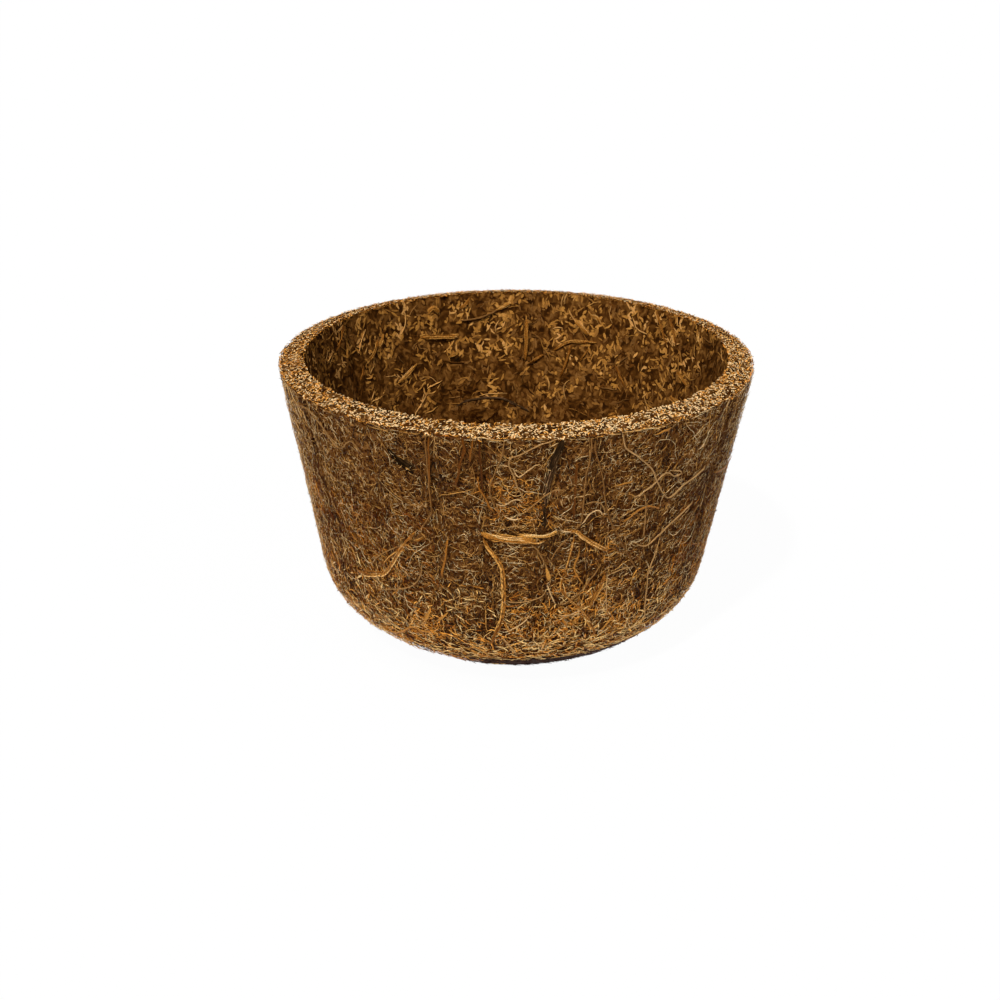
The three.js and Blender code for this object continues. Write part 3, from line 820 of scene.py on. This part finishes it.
def sweep_strand(bundle, route, width, thickness, tone, seed, lift, inside=False, flat=True, aside=(0, 0),
                 part=(0, 1), streaks=0.45, sway=0.12 * mm):
    """Adds one strand to a bundle: a flat ribbon with split edges, or a round thread."""
    uv = bundle.loops.layers.uv["OFBake"]
    end_reach, tucked = 1.6 * mm, 0.35 * mm
    walked, length = walked_route(route, inside)
    first, last = (round(share * (len(walked) - 1)) for share in part)
    walked = walked[first:last + 1]
    length *= part[1] - part[0]
    spots = []
    for step, (turn, height) in enumerate(walked):
        share = step / (len(walked) - 1)
        along = share * length
        ends = min(1, share * length / end_reach, (1 - share) * length / end_reach)
        held = lift * ends ** 0.7 - tucked * (1 - ends) + 0.1 * mm * wobble(along, 2.2 * mm, seed)
        spots.append((*on_face(turn, height, held, inside), share, along, ends))
    rings = []
    for step, (place, outward, share, along, ends) in enumerate(spots):
        ahead = spots[min(step + 1, len(spots) - 1)][0] - spots[max(step - 1, 0)][0]
        across = outward.cross(ahead).normalized()
        shift = aside[0] + (aside[1] - aside[0]) * share + sway * wobble(along, 2.4 * mm, seed + 3)
        middle = place + across * shift
        taper = 0.25 + 0.75 * math.sin(math.pi / 2 * ends) if flat else 0.45 + 0.55 * ends
        ring = []
        if flat:
            left = width / 2 * taper * (1 + 0.7 * wobble(along, 1.4 * mm, seed + 11))
            right = width / 2 * taper * (1 + 0.7 * wobble(along, 1.1 * mm, seed + 17))
            for spot in (-1, -0.6, -0.2, 0.2, 0.6, 1):
                ridge = 0.3 * wobble(along, 6 * mm, seed + 30 + 4 * spot) + 0.25 * (1 - spot * spot)
                reach = left if spot < 0 else right
                ring.append(middle + across * spot * reach + outward * thickness * (0.35 + ridge))
            for spot in (1, 0, -1):
                reach = left if spot < 0 else right
                ring.append(middle + across * spot * reach * 0.94 - outward * thickness * 0.5)
        else:
            reach = width / 2 * taper * (1 + 0.25 * wobble(along, 1.5 * mm, seed + 5))
            corners = 6
            for corner in range(corners):
                turned = 2 * math.pi * corner / corners
                ring.append(middle + (across * math.cos(turned) + outward * math.sin(turned)) * reach)
        rings.append([bundle.verts.new(spot) for spot in ring])
    sides = len(rings[0])
    for step, (lower, upper) in enumerate(zip(rings, rings[1:])):
        for side in range(sides):
            after = (side + 1) % sides
            face = bundle.faces.new((lower[side], lower[after], upper[after], upper[side]))
            face.smooth = True
            for loop, (around, up) in zip(face.loops, ((0, 0), (1, 0), (1, 1), (0, 1))):
                streak = streaks * ((side + around) / sides - 0.5)
                loop[uv].uv = (tone + streak, 0.02 + 0.96 * (step + up) / (len(rings) - 1))
    for ring in (rings[0], rings[-1]):
        for loop in bundle.faces.new(ring).loops:
            loop[uv].uv = (tone, 0.5)


def split_ribbon(bundle, route, width, tone, seed, lift, inside=False, spread=0.36):
    """Adds a ribbon: a thin sheet, painted darker as shade, under shreds laid side by side, each with ends and a
    tone of its own.
    """
    choose = random.Random(seed)
    width *= mm
    shred_pitch, shred_thickness = 0.19 * mm, 0.2 * mm
    # The sheet is painted a little darker than the shreds: painted shade beneath them
    sweep_strand(bundle, route, 0.75 * width, 0.16 * mm, tone - 0.15, seed, lift - 0.1 * mm, inside, streaks=0.1)
    shreds = max(3, round(width / shred_pitch))
    for shred in range(shreds):
        across = width * ((shred + 0.5) / shreds - 0.5)
        aside = tuple(across * choose.uniform(0.7, 1.25) + choose.uniform(-0.1, 0.1) * mm for _ in range(2))
        part = (choose.uniform(0, 0.25), choose.uniform(0.78, 1))
        sweep_strand(
            bundle, route, choose.uniform(0.14, 0.32) * mm, shred_thickness,
            tone + choose.uniform(-spread, spread), 10 * seed + shred, lift + choose.uniform(-0.15, 0.1) * mm,
            inside, False, aside, part, 0.03, 0.2 * mm)


def new_bundle():
    bundle = bmesh.new()
    bundle.loops.layers.uv.new("OFBake")
    return bundle


def keep_bundle(bundle, name, slot, material, *nodes):
    """Turns a bundle into a piece of the pot that stands for these nodes."""
    bmesh.ops.recalc_face_normals(bundle, faces=bundle.faces)
    mesh = bpy.data.meshes.new(name)
    bundle.to_mesh(mesh)
    bundle.free()
    mesh.materials.append(material)
    keep_piece(name, slot, mesh, *nodes)


gold_husk = coir("gold_husk", (
    (0.0, 0.04, 0.009, 0.0006), (0.3, 0.19, 0.056, 0.005), (0.5, 0.42, 0.155, 0.02),
    (0.75, 0.72, 0.34, 0.07), (1.0, 0.95, 0.6, 0.24),
), 0.5, 0.9, 0.1, (150, 34, 1))
ribbons = {
    # Width in mm, tone, then the route in degrees right of the front and mm up; first the
    # ribbon itself, then further shreds of it where it has split
    "front_husk_ribbon": (
        (2.1, 0.72, ((-8.5, 51), (-6, 50.5), (-2.5, 49.8), (1, 49.5), (5, 49))),
        (0.9, 0.9, ((0, 51), (4, 50.7), (6, 50.5), (8, 51), (10, 51.5))),
        (0.6, 0.6, ((-1, 49.5), (2, 49), (5, 48.5), (7, 49))),
        (0.5, 0.35, ((-8, 50), (-5.5, 49.2), (-3, 48.8))),
    ),
    "front_ribbon_tail": (
        (1.2, 0.55, ((11.5, 51.5), (14, 51), (16, 49), (18.5, 47), (21, 45.3), (23.5, 43.5))),
    ),
    "left_husk_sliver": (
        (1.1, 0.62, ((-25, 49), (-29, 44), (-32.5, 38.5), (-36, 34), (-39, 32.5), (-43.5, 31), (-48.5, 30.5))),
        (0.6, 0.55, ((-29.5, 43.5), (-32.5, 40.5), (-35, 38), (-37.5, 35))),
        (0.5, 0.6, ((-26, 46), (-23, 47.5))),
        (0.4, 0.5, ((-35, 34.5), (-38, 33.5), (-42, 32.5), (-46, 32.5))),
    ),
    "centre_husk_ribbon": (
        (0.9, 0.55, ((-8, 49.5), (-5.5, 45), (-3.5, 41), (-3, 34), (-3.5, 26), (-5.5, 20), (-7, 16.5))),
        (0.5, 0.5, ((-3.5, 26), (-1.5, 22), (1, 20))),
    ),
    "heel_ribbon": (
        (1.3, 0.6, ((23, 37.5), (23, 34.5), (22, 32), (21, 29.5), (20, 26.5))),
        (0.5, 0.35, ((22, 34.5), (21, 32), (20, 29.5), (19.5, 27))),
    ),
    "heel_cross_strand": (
        (0.7, 0.6, ((12, 38), (11.5, 35), (13, 32), (18.5, 26), (22, 20), (23, 17))),
        (0.5, 0.6, ((13.8, 50), (13.2, 45), (12.5, 41.5), (12, 38))),
        (0.4, 0.5, ((18.5, 26), (20, 22.5), (22.5, 19))),
    ),
    "back_husk_ribbon": ((1.3, 0.6, ((150, 58), (156, 55), (163, 54), (170, 51))),),
    "back_husk_sliver": ((0.9, 0.7, ((-138, 34), (-133, 38), (-128, 44), (-126, 50))),),
}
ribbon_lift, split_lift = 0.22 * mm, 0.3 * mm
for number, (name, shreds) in enumerate(ribbons.items()):
    bundle = new_bundle()
    for shred, (width, tone, route) in enumerate(shreds):
        seed, lift = (49 + 5 * number + shred, split_lift) if shred else (number + 1, ribbon_lift)
        split_ribbon(bundle, route, width, tone, seed, lift)
    keep_bundle(bundle, name + "_skin", "gold_husk", gold_husk, name)

# The golden strands inside: one bent over as it dried, which stands for the largest, and
# shorter slashes and flecks of husk skin that the punch pressed into the inner face.
inner_strands = {
    "inner_bent_strand": (
        (0.9, 0.6, ((166.8, 61.2), (164.2, 62.9), (161.6, 64.4), (157.2, 64.8), (152.4, 65.1))),
        (0.7, 0.5, ((160.9, 63.8), (162.1, 58.2), (164.1, 53.1))),
        (0.7, 0.55, ((154.9, 63), (156.4, 60.6), (157.6, 58.7))),
    ),
    "inner_gold_flecks": (
        (1.2, 0.75, ((-138.6, 54.9), (-142.7, 57.2), (-146.9, 59.5))),
        (1.8, 0.7, ((-152.3, 73.8), (-154.2, 75.2), (-156.2, 73.8))),
        (1.3, 0.62, ((-148.9, 67.1), (-153.8, 66.7), (-158.3, 66.2), (-162.4, 66.1))),
        (1.1, 0.8, ((-159.5, 66.6), (-162.4, 66.1))),
        (0.9, 0.75, ((-174, 73), (-176.2, 73.9), (-178.8, 75.1))),
        (1.1, 0.6, ((176, 70.5), (175.8, 62.7), (176, 57.8))),
        (0.8, 0.5, ((174.7, 56.9), (172.4, 58.5), (169.7, 59.8))),
        (1.0, 0.6, ((-133, 69.4), (-130.7, 66.3), (-128.4, 64.1))),
        (1.0, 0.7, ((-135.7, 70.6), (-134.1, 68.5), (-132.5, 66.8))),
        (0.9, 0.5, ((-125.4, 63.4), (-122.8, 59.5))),
        (0.9, 0.75, ((113.8, 77.2), (111.6, 75.2), (109.7, 72.6))),
        (0.7, 0.45, ((128.3, 78), (124.7, 74.8), (121.8, 69.9))),
        (0.7, 0.55, ((132.8, 78), (129.9, 74.5), (126.3, 69.4))),
        (1.0, 0.6, ((120, 63.3), (115.8, 62.3), (113.3, 60.7))),
        (0.8, 0.5, ((145, 59.8), (142.6, 56.9), (139.9, 53.4))),
        (1.2, 0.6, ((120.3, 55.4), (115.8, 55.4), (109.4, 55.6))),
        (1.2, 0.7, ((160.5, 70.5), (157.7, 69), (155.4, 67.1))),
        (1.0, 0.7, ((155.4, 72.9), (153, 72.6), (151.7, 70.6))),
        (1.0, 0.65, ((145.1, 43.9), (142.4, 45))),
        (1.0, 0.6, ((-162.8, 74), (-164.8, 75.6), (-166.1, 77.3))),
        (0.7, 0.45, ((-113.3, 70.7), (-116.8, 73.8), (-119.4, 77))),
        (1.0, 0.7, ((-158.5, 60.1), (-160.8, 60.8))),
    ),
}
for number, (name, shreds) in enumerate(inner_strands.items()):
    bundle = new_bundle()
    for shred, (width, tone, route) in enumerate(shreds):
        split_ribbon(bundle, route, width, tone, 100 + 30 * number + shred, ribbon_lift, True, 0.15)
    nodes = (name,) if name == "inner_bent_strand" else ()
    keep_bundle(bundle, name + "_skin", "gold_husk", gold_husk, *nodes)

# The single threads: coarse round fibres, each curled its own way, that lie loosely on
# the felt and stand proudest of all.
tan_fibre = coir("tan_fibre", (
    (0.0, 0.065, 0.024, 0.005), (0.25, 0.2, 0.08, 0.017), (0.5, 0.38, 0.19, 0.058),
    (0.75, 0.63, 0.37, 0.145), (1.0, 0.95, 0.65, 0.34),
), 0.5)
threads = (
    # Name, width in mm, tone, route, and whether it lies inside
    ("long_curl", 0.4, 0.66, (
        (22.5, 77), (23, 74.5), (24, 72.5), (27, 70), (31.5, 65.5), (34, 61), (38.5, 55.5), (43, 57.5),
        (47, 58.5), (52, 60)), False),
    ("long_thread", 0.36, 0.34, (
        (16.5, 76), (16.5, 73.5), (19, 65.5), (21, 56.5), (24.5, 49), (29.5, 40.5), (36, 32)), False),
    ("left_curly_thread", 0.32, 0.5, (
        (-64.8, 72.3), (-56.3, 74.8), (-50.8, 72.6), (-48, 70), (-45.6, 67.7), (-43.5, 67.9), (-41.4, 69.9),
        (-39.6, 70.7), (-37.8, 69), (-37.4, 67.5)), False),
    ("left_upright_fibre", 0.42, 0.36, (
        (-20, 76.5), (-20, 69), (-20, 60.5), (-20, 56), (-21, 54), (-23, 50.5)), False),
    ("centre_loop_thread", 0.34, 0.6, (
        (8, 77), (4.5, 76), (0.5, 73.5), (-1.5, 72.5), (-2, 70.5), (-1, 68), (0, 64.5), (2, 60)), False),
    ("arc_thread", 0.34, 0.85, ((15, 52.5), (16, 54.5), (17, 56), (19, 56.5), (20.5, 54.5)), False),
    ("right_arc_thread", 0.38, 0.62, (
        (30.5, 44.5), (33, 43), (35, 43), (37.5, 44.5), (42.5, 47.5), (50, 51)), False),
    ("right_upright_fibre", 0.38, 0.6, (
        (38.5, 40.5), (37, 34), (37.5, 30.5), (38.5, 22.5), (40, 17.5)), False),
    ("heel_straw", 0.42, 0.55, ((-4, 20.5), (-2.5, 18.5), (-0.5, 15.5), (1.5, 12.5)), False),
    ("inner_pale_thread", 0.6, 0.36, ((-162.9, 70.6), (-167.5, 70.9), (-171.8, 71.9), (-175, 73.4)), True),
    ("back_long_curl", 0.4, 0.55, (
        (-178, 68), (-171, 63), (-167, 56), (-161, 54), (-155, 58), (-151, 65), (-145, 69)), False),
    ("side_long_thread", 0.4, 0.5, ((92, 73), (96, 62), (94, 50), (99, 38), (105, 27)), False),
)
thread_lift = 0.34 * mm
for number, (name, width, tone, route, inside) in enumerate(threads):
    bundle = new_bundle()
    thick = width * mm
    sweep_strand(bundle, route, thick, thick, tone, 120 + number, thread_lift, inside, False, streaks=0.15)
    keep_bundle(bundle, name + "_fibre", "tan_fibre", tan_fibre, name)

# The dark husk: strips of brown outer skin and a crumb of pith, nearly black, pressed in
# among the fibres so that some fibres cross them.
dark_husk = coir("dark_husk", (
    (0.0, 0.012, 0.005, 0.001), (0.4, 0.036, 0.017, 0.006), (0.75, 0.09, 0.044, 0.016),
    (1.0, 0.2, 0.1, 0.045),
), 0.75)
dark_strips = (
    # Name, where it lies, then width in mm, tone and route of each part
    ("dark_husk_strip", False, (
        (2.0, 0.45, ((9.5, 76.5), (8.5, 74), (7.5, 71), (7, 68), (6.5, 65))),
        (1.6, 0.6, ((7.5, 70), (6.5, 66), (6, 61.5), (6, 57.5))),
        (1.1, 0.5, ((6, 60), (6, 56), (6.5, 52.5))),
    )),
    ("inner_dark_curl", True, (
        (0.7, 0.75, ((-160, 44.5), (-163, 45.8), (-165.9, 46.2), (-171.3, 46.5), (-176.2, 46), (-180.8, 44.4),
                    (-185.9, 42))),
        (1.2, 0.2, ((-160.2, 58.4), (-162, 59.5))),
    )),
    ("pith_fleck", False, (
        (1.6, 0.2, ((-30, 71), (-27, 68.5), (-24, 65.5))), (1.5, 0.5, ((-29, 68.5), (-26, 67.5))),
        (1.1, 0.35, ((-27.5, 69.5), (-25, 68.5), (-23, 67.5))),
    )),
)
dark_lift = -0.02 * mm
for number, (name, inside, strips) in enumerate(dark_strips):
    bundle = new_bundle()
    for strip, (width, tone, route) in enumerate(strips):
        split_ribbon(bundle, route, width, tone, 160 + 10 * number + strip, dark_lift, inside, 0.45)
    keep_bundle(bundle, name + "_skin", "dark_husk", dark_husk, name)

# Finer threads and shreds that show singly between the ones above: thin coconut fibres and
# slivers of husk skin, caught in the latex. Each kind is kept together as one layer.
fine_gold = (
    # Route in degrees right of the front and mm up, width in mm, tone
    (((-12, 77.5), (-11.5, 74), (-12.5, 70.5), (-13, 67.5), (-14, 63.5)), 0.7, 0.25),
    (((-9.5, 77.5), (-10, 74), (-10.5, 70.5)), 0.4, 0.4),
    (((-9, 64.5), (-7.5, 62), (-6.5, 59.5), (-5, 57)), 0.45, 0.45),
    (((26, 51.5), (28, 53), (30.5, 54.5), (33.5, 54.5), (37, 52.5)), 0.5, 0.55),
    (((15.5, 46), (15, 43.5), (14.5, 40.5), (15.5, 38), (17.5, 34.5)), 0.4, 0.6),
    (((-16.5, 49), (-17, 45.5), (-17.5, 42.5), (-18.5, 39), (-19, 36.5)), 0.5, 0.5),
    (((-43.5, 14.5), (-40.5, 13.5), (-34.5, 15.5), (-29.5, 19), (-26.5, 18.5), (-23.5, 18.5)), 0.7, 0.6),
    (((-23, 26.5), (-24, 24), (-25.5, 21)), 0.8, 0.65),
    (((-18, 26), (-19.5, 24.5), (-21.5, 22.5)), 0.6, 0.65),
    (((58.5, 55.5), (64, 54.5), (69.5, 53)), 0.6, 0.55),
    (((31, 74.5), (33, 75.5), (35.5, 75.5)), 0.5, 0.6),
    (((12, 25.5), (13.5, 23.5), (14.5, 21)), 0.5, 0.55),
    (((-13, 17.5), (-11, 16), (-9, 14.5), (-7, 11.5)), 0.4, 0.7),
    (((22.5, 62.5), (24.5, 63), (27.5, 63)), 0.4, 0.6),
    (((24, 18.5), (26, 21), (28, 23)), 0.4, 0.6),
    (((-19.3, 76.5), (-19.5, 70), (-20, 63)), 0.45, 0.35),
    (((12.6, 71), (12.8, 62), (13.1, 54.5)), 0.5, 0.25),
    (((-8.2, 76.5), (-8, 68), (-7.5, 60.5)), 0.5, 0.12),
    (((7.4, 41.5), (7.9, 39), (8.7, 36.5)), 0.9, 0.7),
)
fine_tan = (
    (((-3, 77.5), (-3.5, 73), (-5, 68.5), (-6, 65), (-6, 62), (-5, 59), (-3.5, 55.5), (-2, 51.5)), 0.32, 0.45),
    (((-3, 56), (-1, 55.5), (1, 55.5)), 0.4, 0.95),
    (((-5, 59.5), (-3, 59.5), (-1, 61), (0.5, 61), (1.5, 59.5)), 0.3, 0.85),
    (((-1, 69), (0, 67.5), (1, 68), (2.5, 69.5), (4, 70.5)), 0.3, 0.85),
    (((1.5, 57), (3, 59), (4.5, 60.5), (6.5, 62.5), (8.5, 63.5), (11, 63)), 0.34, 0.55),
    (((15.5, 76.5), (15.5, 71), (15, 66.5), (15, 58), (15, 52.5)), 0.38, 0.4),
    (((28, 58), (30.5, 59.5), (33, 61), (35.5, 63), (37, 63), (39, 61.5), (41.5, 61.5), (40.5, 62.5), (38, 63)),
     0.34, 0.7),
    (((30.5, 59.5), (32, 54), (32.5, 49), (33, 45)), 0.36, 0.5),
    (((15.5, 58), (16.5, 59), (18.5, 59), (20, 57.5), (21, 54.5)), 0.32, 0.55),
    (((-24, 40.5), (-24.5, 37), (-26.5, 33.5), (-30, 31), (-34.5, 29.5), (-40.5, 27.5)), 0.34, 0.55),
    (((-3, 31.5), (-1, 31), (1.5, 31), (4, 31.5), (6.5, 32.5), (8, 34)), 0.32, 0.6),
    (((-30.5, 43.5), (-33.5, 41.5), (-37.5, 38.5), (-41, 34.5)), 0.3, 0.5),
    (((13, 50), (10.5, 47.5), (9, 45), (8, 42)), 0.34, 0.4),
    (((3, 48.5), (5, 46.5), (6.5, 43.5), (8, 40)), 0.32, 0.5),
    (((8, 36), (9, 33), (10.5, 29.5)), 0.36, 0.85),
    (((24.5, 36), (26, 37), (28.5, 37.5), (31.5, 37)), 0.3, 0.65),
    (((11, 29), (14, 30.5), (16, 32), (18, 34.5), (21.5, 40)), 0.3, 0.5),
    (((11, 26), (14, 26), (16.5, 26), (18.5, 25.5)), 0.3, 0.75),
    (((24, 37), (24, 33), (24.5, 29), (25.5, 24.5)), 0.34, 0.7),
    (((10, 51.5), (11.5, 51.5), (13.5, 51)), 0.34, 0.9),
    (((-3.5, 20), (-2, 18), (0, 15), (1, 13)), 0.34, 0.8),
    (((-3, 21), (0, 23), (2.5, 25), (4, 27)), 0.36, 0.85),
    (((46.5, 66), (47.5, 67), (49, 68)), 0.34, 0.85),
    (((-45, 17.5), (-39, 19), (-34.5, 21), (-31.5, 20.5), (-29, 19)), 0.3, 0.5),
)
fine_thickness, fine_lift = 0.2 * mm, 0.32 * mm
for name, slot, material, strands, flat in (
    ("fine_gold_shreds", "gold_husk", gold_husk, fine_gold, True),
    ("fine_tan_threads", "tan_fibre", tan_fibre, fine_tan, False),
):
    bundle = new_bundle()
    for number, (route, width, tone) in enumerate(strands):
        sweep_strand(
            bundle, route, width * mm, fine_thickness, tone, 200 + number, fine_lift, False, flat, streaks=0.2)
    keep_bundle(bundle, name, slot, material)


# The floor and backdrop: a white matte table that keeps a soft shadow under the pot. To
# the camera it fades to plain white away from the pot's foot, and it ends in no edge.
# Under the foot the table is painted nearly black: painted contact shade, which also dims the light the table
# throws up onto the heel
def white_table():
    """Pale and matte, painted nearly black as contact shade where the pot stands, and plain white to the camera
    further out.
    """
    material, tree, shader = new_finish("white_table")
    place = wired(tree, "ShaderNodeTexCoord", {}, "Object")
    # Its centre lies 0.8 mm towards +X, away from the key lamp, so the painted shade reaches a little further on
    # the right
    contact_shade_centre = (0.8 * mm, 0, 0)
    away = wired(tree, "ShaderNodeVectorMath", {0: place, 1: contact_shade_centre}, "Value", operation="DISTANCE")
    fade = ranged(tree, away, (31 * mm, 34 * mm), (0.0, 0.975))
    # The ramp's places are in decimetres: painted contact shade, dark to 30 mm out, and white from 50 mm on
    to_decimetres = 10.0
    painted_contact_shade = tone_ramp(tree, away * to_decimetres, ((0.3, 0.03, 0.03, 0.03), (0.5, 0.95, 0.95, 0.95)))
    plain = wired(tree, "ShaderNodeEmission", {"Color": (1, 1, 1, 1), "Strength": 1.0})
    seen = wired(tree, "ShaderNodeLightPath", {}, "Is Camera Ray")
    feed(shader, {"Base Color": painted_contact_shade, "Roughness": 0.9, "Specular IOR Level": 0.1})
    both = wired(tree, "ShaderNodeMixShader", {0: seen * fade, 1: Figure(shader.outputs[0]), 2: plain})
    feed(tree.nodes["Material Output"], {"Surface": both})
    return material


table_reach = 4.0
table_mesh = bpy.data.meshes.new("table")
corners = [(x * table_reach, y * table_reach, 0) for x, y in ((-1, -1), (1, -1), (1, 1), (-1, 1))]
table_mesh.from_pydata(corners, [], [(0, 1, 2, 3)])
table_mesh.materials.append(white_table())
table = put_in_scene("table", table_mesh)

# The light: an even white room, with a soft lamp far ahead, above and to the left, and a
# weaker one to the right. To the camera the room itself is plain white.
world = bpy.data.worlds.new("room")
world.use_nodes = True
bpy.context.scene.world = world
room_light = 0.26
seen = wired(world.node_tree, "ShaderNodeLightPath", {}, "Is Camera Ray")
level = ranged(world.node_tree, seen, (0, 1), (room_light, 1.0))
feed(world.node_tree.nodes["Background"], {"Color": (1, 1, 1, 1), "Strength": level})


def aimed(turn, rise):
    """The direction at a turn to the right of the front and a rise above the table, in degrees."""
    turn, rise = math.radians(turn), math.radians(rise)
    return Vector((math.sin(turn) * math.cos(rise), -math.cos(turn) * math.cos(rise), math.sin(rise)))


def far_lamp(name, turn, rise, strength, softness):
    light = bpy.data.lights.new(name, "SUN")
    light.energy = strength
    light.angle = math.radians(softness)
    put_in_scene(name, light).rotation_euler = aimed(turn, rise).to_track_quat("Z", "Y").to_euler()


far_lamp("key_lamp", turn=-26, rise=50, strength=3.15, softness=3)
far_lamp("right_lamp", turn=50, rise=40, strength=0.5, softness=15)

# The camera: straight in front of the pot and 40 cm away, looking down at about 24
# degrees on the middle of its wall, through a lens of middling length.
camera_distance = 0.4
camera_elevation = 23.908
camera_target = Vector((-3.47 * mm, 0, 34.01 * mm))
film_width, focal_length = 36, 50.94
lens = bpy.data.cameras.new("camera")
lens.sensor_width, lens.lens = film_width, focal_length
camera = put_in_scene("camera", lens)
back = aimed(0, camera_elevation)
camera.location = camera_target + back * camera_distance
camera.rotation_euler = back.to_track_quat("Z", "Y").to_euler()
bpy.context.scene.camera = camera
bpy.context.scene.view_settings.view_transform = "Standard"
